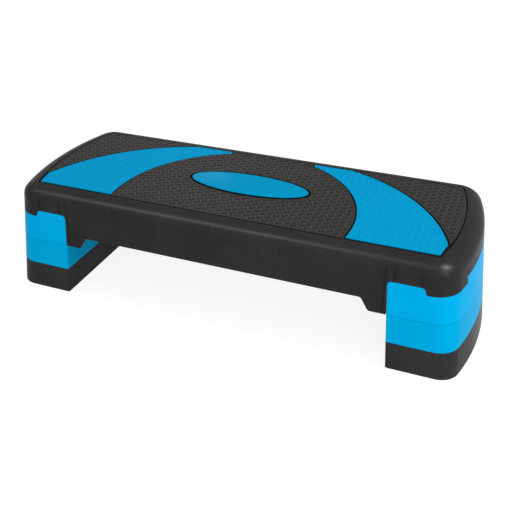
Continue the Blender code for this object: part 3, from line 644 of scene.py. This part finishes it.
def make_platform():
    """The platform's shell: its outside, less its cavity, notches and pilot holes."""
    skirt_low = TAB_BOTTOM - PAST
    shoulder_foot = DECK_TOP - SHOULDER_DROP
    sections = [(skirt_low, deck_outline(skirt_low, 0.0))]
    for rise, inwards in quarter_turn(SHOULDER_STEPS):
        z = shoulder_foot + SHOULDER_DROP * rise
        sections.append((z, deck_outline(z, (SHOULDER_WIDTH - LIP_ROUND) * inwards)))
    for inset, drop in reversed(rounded_edge(LIP_ROUND)[:-1]):
        sections.append((DECK_TOP - drop, deck_outline(DECK_TOP, SHOULDER_WIDTH - inset)))
    sections.append((RECESS_FLOOR, deck_outline(DECK_TOP, SHOULDER_WIDTH)))
    shell = new_object("platform", draw_up(sections))

    over_leg = LEG_TOP + SEAM
    levels = [(skirt_low - PAST, WALL), (over_leg, WALL)]
    for rise, inwards in quarter_turn(EDGE_STEPS):
        z = shoulder_foot + (PLATE_UNDERSIDE - shoulder_foot) * rise
        levels.append((z, WALL + shoulder_inset(z + WALL)))
    cavity = new_object("cavity", draw_up([(z, deck_outline(z, inset)) for z, inset in levels]))

    rib_low = DECK_TOP - DECK_RIB_DEPTH
    pocket_wall = inner_face(LEG_TOP) - POCKET_CLEARANCE - RIB / 2
    reach = FLOOR_HALF_WIDTH + PAST
    far = FLOOR_HALF_LENGTH + PAST
    gaps = CROSS_RIBS_EACH_WAY + 1
    cross = [(pocket_wall * i / gaps, rib_low) for i in range(-gaps, gaps + 1)]
    cross += [(-SCREW_LINE, over_leg), (SCREW_LINE, over_leg)]
    carve(cavity, bars([(x - RIB / 2, x + RIB / 2, -reach, reach, low, DECK_TOP) for x, low in cross]))
    for y in (-LONG_RIB_PITCH, 0.0, LONG_RIB_PITCH):
        carve(cavity, bars([(-pocket_wall, pocket_wall, y - RIB / 2, y + RIB / 2, rib_low, DECK_TOP)]))
        carve(cavity, bars([(-far, -pocket_wall, y - RIB / 2, y + RIB / 2, over_leg, DECK_TOP),
                            (pocket_wall, far, y - RIB / 2, y + RIB / 2, over_leg, DECK_TOP)]))
    screws = SCREW_PLACES + [(-x, y) for x, y in SCREW_PLACES]
    carve(cavity, rods(screws, BOSS_RADIUS, over_leg, DECK_TOP))
    carve(shell, cavity)
    carve(shell, below_skirt(0.0, SIDE_SEAM))
    carve(shell, end_notches(0.0, LEVEL_HEIGHT))
    carve(shell, rods(screws, SCREW_HOLE_RADIUS, LEG_TOP, LEG_TOP + SCREW_REACH))
    return shell


def add_sinks_and_painted_groove_shade(material):
    """Adds the sink marks in the skirt, and a near-black painted shade on the floor of the mat's recess."""
    tree = material.node_tree
    shader = next(n for n in tree.nodes if n.type == "BSDF_PRINCIPLED")
    plain = shader.inputs["Base Color"].links[0].from_socket
    grained = shader.inputs["Normal"].links[0].from_socket
    place = node(tree, "SeparateXYZ", Vector=node(tree, "TexCoord").outputs["Object"])
    # Faint upright hollows, where the plastic shrank over the ribs behind it. Besides their dent, their
    # colour is darkened as painted shade
    across = node(tree, "Math", {"operation": "ABSOLUTE"}, n_0=place.outputs["X"])
    share = node(tree, "MapRange", Value=across, From_Max=FLOOR_HALF_LENGTH)
    hollows = node(tree, "ValToRGB", Fac=share)
    hollows.color_ramp.interpolation = "B_SPLINE"
    hollows.color_ramp.elements[1].color = (0.0, 0.0, 0.0, 1.0)
    for sink in SINKS:
        for aside, depth in ((-SINK_HALF_WIDTH, 0.0), (0.0, 1.0), (SINK_HALF_WIDTH, 0.0)):
            stop = hollows.color_ramp.elements.new((sink + aside) / FLOOR_HALF_LENGTH)
            stop.color = (depth, depth, depth, 1.0)
    skirt = node(tree, "MapRange", Value=place.outputs["Z"], From_Min=DECK_TOP - SHOULDER_DROP,
                 From_Max=DECK_TOP - SHOULDER_DROP / 2, To_Min=1.0, To_Max=0.0)
    sunk = node(tree, "Math", {"operation": "MULTIPLY"}, n_0=hollows.outputs["Color"], n_1=skirt)
    dent = node(tree, "Bump", {"invert": True}, Strength=1.0, Distance=SINK_DEPTH,
                Height=sunk, Normal=grained)
    sink_painted_shade = node(tree, "Mix", {"data_type": "RGBA"}, n_0=sunk, n_6=plain, n_7=linear("1c1b1b"))
    # Painted shade: the floor of the mat's recess is coloured nearly black, which makes the grooves dark
    normal = node(tree, "NewGeometry").outputs["Normal"]
    facing = node(tree, "Math", {"operation": "GREATER_THAN"},
                  n_0=node(tree, "SeparateXYZ", Vector=normal).outputs["Z"], n_1=LEVEL_ENOUGH)
    level = node(tree, "Math", {"operation": "COMPARE"}, n_0=place.outputs["Z"], n_1=RECESS_FLOOR,
                 n_2=RECESS_SHADE_BAND)
    painted_shade_mask = node(tree, "Math", {"operation": "MULTIPLY"}, n_0=level, n_1=facing)
    with_painted_shade = node(tree, "Mix", {"data_type": "RGBA"}, n_0=painted_shade_mask, n_6=sink_painted_shade.outputs[2],
                  n_7=linear("1c1b1b"))
    tree.links.new(with_painted_shade.outputs[2], shader.inputs["Base Color"])
    tree.links.new(dent.outputs[0], shader.inputs["Normal"])


SKIRT_PLASTIC = moulded_polypropylene("black_moulded_polypropylene_with_sink_marks", "383737", "222121",
                                      "ffffff", 0.02, 0.33)
add_sinks_and_painted_groove_shade(SKIRT_PLASTIC)
platform = make_platform()
finish_piece(platform, "platform_moulding", SKIRT_PLASTIC, "deck", ["deck_shell"])

# Mat
# A sheet of dark thermoplastic rubber in the platform's recess, moulded all over with low round
# studs. A plain strip runs along its edges and round the openings for the blue inlays.
RIM_GROOVE = 2.5 * MM                    # between the platform's shoulder and the mat
INLAY_GROOVE = 3.0 * MM                  # round a crescent
OVAL_GROOVE = 4.4 * MM                   # round the badge, which stands proud and hides part of it
INLAY_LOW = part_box("mat_field")[0].z
MAT_EDGE_ROUND = 0.35 * MM
LIP_HEIGHT = 0.8 * MM                    # of the thin lip round a sheet, which overhangs its groove
LIP_REACH = 1.5 * MM
PLAIN_STRIP = 3.8 * MM
STUD_PITCH = 13.7 * MM                   # between studs side by side, which lie in straight files along Y
MAT_STUD_HEIGHT = 1.15 * MM
STUD_FLANKS = ((6.15, 0.00), (5.95, 0.85), (5.50, 1.00))   # mm out, share of height
STUD_SIDES = 12
OVAL_HALF_LENGTH = 109.0 * MM
OVAL_HALF_WIDTH = 38.5 * MM
OVAL_STEPS = 96
CRESCENT_FRONT_MARGIN = 6.0 * MM
CRESCENT_BACK_MARGIN = 3.5 * MM
CRESCENT_CHAMFER_MARGIN = 4.1 * MM
CRESCENT_CHAMFER_RISE = 34.5 * MM
CRESCENT_OUTER_MARGIN = 5.9 * MM
CRESCENT_OUTER_BACK = 154.0 * MM
CRESCENT_OUTER_BULGE = 35.4 * MM
CRESCENT_INNER_FRONT = 206.8 * MM
CRESCENT_INNER_BULGE = 43.9 * MM
CRESCENT_TIP = 83.0 * MM
CRESCENT_TIP_WIDTH = 6.0 * MM
CRESCENT_CORNER_RADIUS = 2.0 * MM
ARC_STEPS = 40
PITS_OVER_PATCHES = 0.7                  # weight of the fine pits over the wide patches
PIT_SPREAD = (0.5, 1.2)                  # the mixed noise, from its dark to its light


def ellipse(half_x, half_y):
    angles = [2 * math.pi * i / OVAL_STEPS for i in range(OVAL_STEPS)]
    return [(half_x * math.cos(a), half_y * math.sin(a)) for a in angles]


def oval_outline(grow):
    return ellipse(OVAL_HALF_LENGTH + grow, OVAL_HALF_WIDTH + grow)


def rounded_end(y):
    """How far from the middle the shoulder's inner edge lies, at an end, on the line at y."""
    radius = half_length(DECK_TOP) - SHOULDER_WIDTH + END_ARC_SETBACK
    return math.sqrt(radius ** 2 - y ** 2) - END_ARC_SETBACK


def circle_through(start, end, bulge):
    """Centre x, centre y and radius of an arc that bulges to the right of the way to its end."""
    chord = math.dist(start, end)
    radius = (chord ** 2 / 4 + bulge ** 2) / (2 * bulge)
    back = (radius - bulge) / chord
    centre_x = (start[0] + end[0]) / 2 - (end[1] - start[1]) * back
    centre_y = (start[1] + end[1]) / 2 - (start[0] - end[0]) * back
    return centre_x, centre_y, radius


def crescent_outline(grow):
    """Outline of the right-hand crescent inlay, moved outwards by grow."""
    field_half_width = half_width(DECK_TOP) - SHOULDER_WIDTH
    front = -field_half_width + CRESCENT_FRONT_MARGIN
    back = field_half_width - CRESCENT_BACK_MARGIN
    chamfer_x = rounded_end(front) - CRESCENT_CHAMFER_MARGIN
    chamfer_y = front + CRESCENT_CHAMFER_RISE
    outer_start = (rounded_end(chamfer_y) - CRESCENT_OUTER_MARGIN, chamfer_y)
    outer_end = (CRESCENT_OUTER_BACK, back)
    outer_x, outer_y, outer_radius = circle_through(outer_start, outer_end, CRESCENT_OUTER_BULGE)
    inner_start = (CRESCENT_INNER_FRONT, front)
    inner_end = (CRESCENT_TIP, back - CRESCENT_TIP_WIDTH)
    inner_x, inner_y, inner_radius = circle_through(inner_start, inner_end, CRESCENT_INNER_BULGE)
    # Each side is moved outwards by grow, and the corners are put back where the sides meet
    slant = (outer_start[0] - chamfer_x) / CRESCENT_CHAMFER_RISE
    chamfer_x += grow * (math.hypot(1.0, slant) - slant)
    front -= grow
    back += grow
    outer_radius += grow
    inner_radius -= grow
    widest = back - LEAST_RADIUS - inner_y
    tip = max(CRESCENT_TIP - grow, inner_x + math.sqrt(inner_radius ** 2 - widest ** 2))
    outer_from = math.asin((chamfer_y - outer_y) / outer_radius)
    outer_to = math.asin((back - outer_y) / outer_radius)
    inner_from = math.acos((tip - inner_x) / inner_radius)
    inner_to = math.asin((front - inner_y) / inner_radius)
    outer = arc(outer_x, outer_y, outer_radius, outer_from, outer_to, ARC_STEPS)
    inner = arc(inner_x, inner_y, inner_radius, inner_from, inner_to, ARC_STEPS)
    radius = max(CRESCENT_CORNER_RADIUS + grow, LEAST_RADIUS)
    tip_radius = max(CRESCENT_CORNER_RADIUS / 2 + grow, LEAST_RADIUS / 8)
    corners = [(chamfer_x, front, radius), (*outer[0], radius)]
    corners += [(x, y, 0) for x, y in outer[1:]]
    corners += [(tip, back, tip_radius), (*inner[0], tip_radius)]
    corners += [(x, y, 0) for x, y in inner[1:-1]]
    corners += [(*inner[-1], radius)]
    return rounded(corners)


def flipped(outline):
    return [(-x, y) for x, y in reversed(outline)]


def prism(outline, low, high):
    return new_object("prism", draw_up([(low, outline), (high, outline)]))


def lipped_edge(outline_at, low, out):
    """Sections up to a thin round-edged lip; outline_at gives the outline moved outwards by a length.

    The lip's root lies inside its edge on a sheet, where out is -1, and outside it round an opening.
    """
    under = DECK_TOP - LIP_HEIGHT
    root = outline_at(out * LIP_REACH)
    return [(low, root), (under, root), (under, outline_at(0.0))] + [
        (DECK_TOP - drop, outline_at(out * inset)) for inset, drop in rounded_edge(MAT_EDGE_ROUND)]


def slab(outline_at):
    """A plain sheet with a lip all round."""
    return new_object("slab", draw_up(lipped_edge(outline_at, INLAY_LOW, -1.0)))


def opening(outline_at):
    """A tool for an opening that leaves such a lip round itself."""
    sections = lipped_edge(outline_at, INLAY_LOW - PAST, 1.0)
    sections.append((DECK_TOP + PAST, sections[-1][1]))
    return new_object("opening", draw_up(sections))


def stud_field(x_low, x_high, y_low, y_high, root, height):
    """Closed studs on a six-sided grid that covers a rectangle; each reaches down to root."""
    file_pitch = STUD_PITCH * math.sqrt(3) / 2
    first_x = math.floor(x_low / (2 * file_pitch)) * 2 * file_pitch
    first_y = (math.floor(y_low / STUD_PITCH) - 1) * STUD_PITCH
    bm = bmesh.new()
    for x, y in ((first_x, first_y), (first_x + file_pitch, first_y + STUD_PITCH / 2)):
        ring = bmesh.ops.create_circle(bm, cap_ends=True, segments=STUD_SIDES, radius=STUD_FLANKS[0][0] * MM,
                                       matrix=Matrix.Translation((x, y, root)))["verts"]
        cap = ring[0].link_faces[0]
        made = bmesh.ops.extrude_face_region(bm, geom=[cap])["geom"]
        cap = next(f for f in made if isinstance(f, bmesh.types.BMFace))
        bmesh.ops.translate(bm, verts=cap.verts[:], vec=(0.0, 0.0, DECK_TOP - height - root))
        for (reach, share), (further, above) in zip(STUD_FLANKS, STUD_FLANKS[1:]):
            bmesh.ops.inset_region(bm, faces=[cap], thickness=(reach - further) * MM,
                                   depth=(above - share) * height)
    studs = new_object("studs", bm)
    for step_x, step_y, length in ((0.0, STUD_PITCH, y_high - first_y),
                                   (2 * file_pitch, 0.0, x_high - first_x)):
        row = studs.modifiers.new("row", "ARRAY")
        row.use_relative_offset = False
        row.use_constant_offset = True
        row.constant_offset_displace = (step_x, step_y, 0.0)
        row.count = math.ceil(length / (step_x + step_y)) + 1
    apply_modifiers(studs)
    return studs


def grip_surface(sheet, outline, holes, height):
    """Sinks a sheet's patterned area by the studs' height and sets them in it, cut at its outline."""
    pattern = prism(outline, DECK_TOP - height, DECK_TOP + PAST)
    for hole in holes:
        carve(pattern, prism(hole, INLAY_LOW, DECK_TOP + 2 * PAST))
    xs, ys = zip(*outline)
    studs = stud_field(min(xs), max(xs), min(ys), max(ys), (INLAY_LOW + DECK_TOP - height) / 2, height)
    root = prism(outline, INLAY_LOW, DECK_TOP + PAST)
    for hole in holes:
        carve(root, prism(hole, INLAY_LOW - PAST, DECK_TOP + 2 * PAST))
    carve(studs, root, "INTERSECT")
    carve(sheet, pattern)
    carve(sheet, studs, "UNION")


def non_slip_rubber(name, colour, shade, painted_speck_ground, depth, tint_of_sheen, sheen, roughness):
    """Thermoplastic rubber from a blasted mould: a flat, dry colour with a fine even grain.

    The ground between the studs lies at this depth. It is given a paler colour as a painted highlight, so
    its glimpses show as light specks.
    """
    material, tree, place = start_material(name)
    # The blasted mould leaves pits of 0.2 mm; they are drawn at 0.9 mm, which the render can show
    pits = node(tree, "TexNoise", Vector=place, Scale=1 / (0.9 * MM), Detail=3.0, Roughness=0.65)
    # Patches of uneven sheen as the rubber cools, about 25 mm
    patches = node(tree, "TexNoise", Vector=place, Scale=1 / (25 * MM), Detail=2.0)
    mix = node(tree, "Math", {"operation": "MULTIPLY_ADD"}, n_0=pits, n_1=PITS_OVER_PATCHES, n_2=patches)
    dark, light = PIT_SPREAD
    tint = node(tree, "MapRange", Value=mix, From_Min=dark, From_Max=light)
    blend = node(tree, "Mix", {"data_type": "RGBA"}, n_0=tint, n_6=linear(shade), n_7=linear(colour))
    bump = node(tree, "Bump", Strength=0.45, Distance=0.05 * MM, Height=pits)
    # The ground, which gets the paler painted-highlight colour, is what lies below an eighth of the studs'
    # height
    height = node(tree, "SeparateXYZ", Vector=place).outputs["Z"]
    low = node(tree, "Math", {"operation": "COMPARE"}, n_0=height, n_1=DECK_TOP - depth, n_2=depth / 8)
    full = node(tree, "Mix", {"data_type": "RGBA"}, n_0=low, n_6=blend.outputs[2], n_7=linear(painted_speck_ground))
    shader = node(tree, "BsdfPrincipled", Base_Color=full.outputs[2], Roughness=roughness, IOR=1.5,
                  Specular_IOR_Level=sheen, Specular_Tint=linear(tint_of_sheen), Normal=bump)
    node(tree, "OutputMaterial", Surface=shader)
    return material


def field_outline(grow):
    return deck_outline(DECK_TOP, SHOULDER_WIDTH + RIM_GROOVE - grow)


def make_mat():
    """The sheet with its three openings, then the studs inside its plain strips."""
    sheet = slab(field_outline)
    holes = [lambda grow: crescent_outline(INLAY_GROOVE + grow),
             lambda grow: flipped(crescent_outline(INLAY_GROOVE + grow)),
             lambda grow: oval_outline(OVAL_GROOVE + grow)]
    for outline_at in holes:
        carve(sheet, opening(outline_at))
    plain = [outline_at(PLAIN_STRIP) for outline_at in holes]
    grip_surface(sheet, field_outline(-PLAIN_STRIP), plain, MAT_STUD_HEIGHT)
    return sheet


# The third colour, paler than the rest, is the painted highlight of the specks between the studs, here and
# on the crescents
DARK_RUBBER = non_slip_rubber("dark_non_slip_rubber", "272524", "232120", "4d4b4a", MAT_STUD_HEIGHT,
                              "fff4ec", 0.11, 0.50)
finish_piece(make_mat(), "mat_sheet", DARK_RUBBER, "deck", ["mat_field"])

# Crescent inlays
# Two crescents of blue rubber, the same sheet as the mat in another colour, let into its openings
# with a thin groove all round. The left one is a mirror image in outline.
CRESCENT_STUD_HEIGHT = 0.85 * MM
BLUE_RUBBER = non_slip_rubber("blue_non_slip_rubber", "00a1d5", "009bcd", "18a6d7",
                              CRESCENT_STUD_HEIGHT, "009dd1", 0.006, 0.50)
for side, outline_at in (("right", crescent_outline),
                         ("left", lambda grow: flipped(crescent_outline(grow)))):
    inlay = slab(outline_at)
    grip_surface(inlay, outline_at(-PLAIN_STRIP), [], CRESCENT_STUD_HEIGHT)
    finish_piece(inlay, f"crescent_inlay_{side}", BLUE_RUBBER, "deck", [f"grip_crescent_{side}"])

# Badge
# The plain raised oval in the middle of the mat: a glossy blue cap of ABS with a rounded edge and a
# slightly crowned top. Its foot is coloured near black as painted shade, which darkens the groove round it.
OVAL_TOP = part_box("center_oval")[1].z
PAINTED_SHADE_FOOT_SHARE = 0.7                         # of the badge's height
OVAL_EDGE_ROUND = 2.2 * MM
OVAL_CROWN = 0.7 * MM
OVAL_CROWN_STEPS = 8


def gloss_abs():
    """Polished ABS: a clear deep blue with a sharp reflection that wavers slightly, with painted shade at
    its foot.
    """
    material, tree, place = start_material("blue_polished_abs")
    # Long shallow waves left by the polish, about 30 mm
    waves = node(tree, "TexNoise", Vector=place, Scale=1 / (30 * MM), Detail=1.0)
    blend = node(tree, "Mix", {"data_type": "RGBA"}, n_0=waves, n_6=linear("0094c4"), n_7=linear("009ccd"))
    bump = node(tree, "Bump", Strength=0.5, Distance=0.15 * MM, Height=waves)
    # Painted shade: the foot of the cap is coloured near black, which darkens the groove round it
    height = node(tree, "SeparateXYZ", Vector=place).outputs["Z"]
    cap = node(tree, "Math", {"operation": "GREATER_THAN"}, n_0=height,
               n_1=INLAY_LOW + PAINTED_SHADE_FOOT_SHARE * (OVAL_TOP - INLAY_LOW))
    colour = node(tree, "Mix", {"data_type": "RGBA"}, n_0=cap, n_6=linear("0c0c0c"), n_7=blend.outputs[2])
    shader = node(tree, "BsdfPrincipled", Base_Color=colour.outputs[2], Roughness=0.18, IOR=1.53,
                  Specular_IOR_Level=0.003, Specular_Tint=linear("0499c9"), Normal=bump)
    node(tree, "OutputMaterial", Surface=shader)
    return material


def make_badge():
    """The oval, drawn up its side, over its rounded edge and across its crown."""
    edge_top = OVAL_TOP - OVAL_CROWN
    sections = [(INLAY_LOW, oval_outline(0.0))]
    sections += [(edge_top - drop, oval_outline(-inset))
                 for inset, drop in rounded_edge(OVAL_EDGE_ROUND, 2 * EDGE_STEPS)]
    inner_x = OVAL_HALF_LENGTH - OVAL_EDGE_ROUND
    inner_y = OVAL_HALF_WIDTH - OVAL_EDGE_ROUND
    for i in range(1, OVAL_CROWN_STEPS):
        share = 1.0 - i / OVAL_CROWN_STEPS
        sections.append((OVAL_TOP - OVAL_CROWN * share ** 2, ellipse(inner_x * share, inner_y * share)))
    return new_object("badge", draw_up(sections))


finish_piece(make_badge(), "badge_oval", gloss_abs(), "deck", ["center_oval"])

# Studio
# A plain white floor and a white surround, with soft boxes above, in front and to the right. Strips
# draw the thin highlights that the photograph has along the platform's shoulder.
FLOOR_SIZE = 8.0
SURROUND_LIGHT = 0.62                    # strength of the white surround, as the step sees it
FLOOR_GLOW = 0.86                        # brings the lit floor to white for the camera


def seen_directly(tree):
    """1 for a ray from the camera or a mirror or through glass, and 0 for one that gathers light."""
    ray = node(tree, "LightPath")
    mirror = node(tree, "Math", {"operation": "MAXIMUM"}, n_0=ray.outputs["Is Camera Ray"],
                  n_1=ray.outputs["Is Glossy Ray"])
    return node(tree, "Math", {"operation": "MAXIMUM"}, n_0=mirror, n_1=ray.outputs["Is Transmission Ray"])


def studio_floor():
    """White for the camera where it is lit, with the step's own soft shadow left on it."""
    material, tree, place = start_material("white_studio_paper")
    fibre = node(tree, "TexNoise", Vector=place, Scale=1 / (3 * MM), Detail=2.0)
    paper = node(tree, "Mix", {"data_type": "RGBA"}, n_0=fibre, n_6=linear("dcdcdc"), n_7=linear("e0e0e0"))
    lit = node(tree, "BsdfDiffuse", Color=paper.outputs[2])
    shadow = node(tree, "BsdfDiffuse", Color=linear("8c8c8c"))
    glow = node(tree, "Emission", Color=linear("ffffff"), Strength=FLOOR_GLOW)
    both = node(tree, "AddShader", n_0=shadow, n_1=glow)
    surface = node(tree, "MixShader", n_0=seen_directly(tree), n_1=lit, n_2=both)
    node(tree, "OutputMaterial", Surface=surface)
    return material


bm = bmesh.new()
bmesh.ops.create_grid(bm, x_segments=1, y_segments=1, size=FLOOR_SIZE / 2)
floor = new_object("studio_floor", bm)
floor.data.materials.append(studio_floor())

world = bpy.data.worlds.new("studio_surround")
world.use_nodes = True
tree = world.node_tree
tree.nodes.clear()
ambient = node(tree, "Background", Color=linear("ffffff"), Strength=SURROUND_LIGHT)
white = node(tree, "Background", Color=linear("ffffff"), Strength=1.0)
surround = node(tree, "MixShader", n_0=seen_directly(tree), n_1=ambient, n_2=white)
node(tree, "OutputWorld", Surface=surround)
bpy.context.scene.world = world


def soft_box(name, place, target, width, height, brightness):
    """A rectangular area lamp that looks at a target point; brightness is that of its surface."""
    lamp = bpy.data.lights.new(name, "AREA")
    lamp.shape = "RECTANGLE"
    lamp.size = width
    lamp.size_y = height
    lamp.energy = brightness * math.pi * width * height
    obj = bpy.data.objects.new(name, lamp)
    bpy.context.scene.collection.objects.link(obj)
    obj.location = place
    obj.rotation_euler = (obj.location - Vector(target)).to_track_quat("Z", "Y").to_euler()
    return obj


lit_by_strips = bpy.data.collections.new("lit_by_strips")
lit_by_strips.objects.link(platform)
soft_box("overhead_soft_box", (0.0, 0.2, 1.9), (0.0, 0.0, 0.19), 1.8, 1.2, 0.7)
for fill in (soft_box("right_soft_box", (1.6, 0.1, 0.9), (0.3, 0.0, 0.15), 0.8, 0.8, 3.2),
             soft_box("front_fill", (0.7, -2.3, 0.9), (0.0, 0.0, 0.1), 1.6, 1.2, 3.4),
             soft_box("right_fill", (1.9, -1.3, 0.5), (-0.3, 0.0, 0.05), 0.9, 0.6, 3.0)):
    fill.visible_glossy = False          # these only lighten
for strip in (soft_box("front_strip", (-0.80, -0.62, 1.6), (-0.80, -0.1, 0.19), 1.1, 0.08, 280.0),
              soft_box("front_strip_end", (0.05, -0.62, 1.6), (0.05, -0.1, 0.19), 0.6, 0.20, 50.0),
              soft_box("corner_highlight", (1.46, -0.26, 1.52), (0.36, -0.14, 0.19), 0.42, 0.66, 240.0),
              soft_box("corner_sheen", (1.70, -0.92, 0.80), (0.40, -0.14, 0.15), 0.30, 1.40, 50.0)):
    strip.visible_diffuse = False        # these only make highlights, on the platform's plastic
    strip.light_linking.receiver_collection = lit_by_strips
back_strip = soft_box("back_left_strip", (-1.2, 2.2, 1.25), (0.0, 0.0, 0.2), 0.3, 0.2, 8.0)
back_strip.visible_diffuse = False       # it only shows in glossy surfaces

# Camera
# It stands in front of the step and a little to its right and looks down on it, as the photograph
# was taken. The field of view was fitted to the platform's edges.
CAMERA_PLACE = (0.4305, -1.0552, 0.7466)
CAMERA_DOWN = math.radians(31.32)
CAMERA_TURN = math.radians(21.60)
CAMERA_ROLL = math.radians(-0.18)
SENSOR = 36.0
FOCAL_PIXELS = 716.4                     # in a frame of 512 pixels
FRAME_PIXELS = 512

camera = bpy.data.cameras.new("photo_camera")
camera.sensor_width = SENSOR
camera.lens = SENSOR * FOCAL_PIXELS / FRAME_PIXELS
camera_object = bpy.data.objects.new("photo_camera", camera)
bpy.context.scene.collection.objects.link(camera_object)
camera_object.location = CAMERA_PLACE
aim = Matrix.Rotation(CAMERA_TURN, 3, "Z") @ Matrix.Rotation(math.pi / 2 - CAMERA_DOWN, 3, "X")
camera_object.rotation_euler = (aim @ Matrix.Rotation(CAMERA_ROLL, 3, "Z")).to_euler()
bpy.context.scene.camera = camera_object
bpy.context.scene.view_settings.view_transform = "Standard"
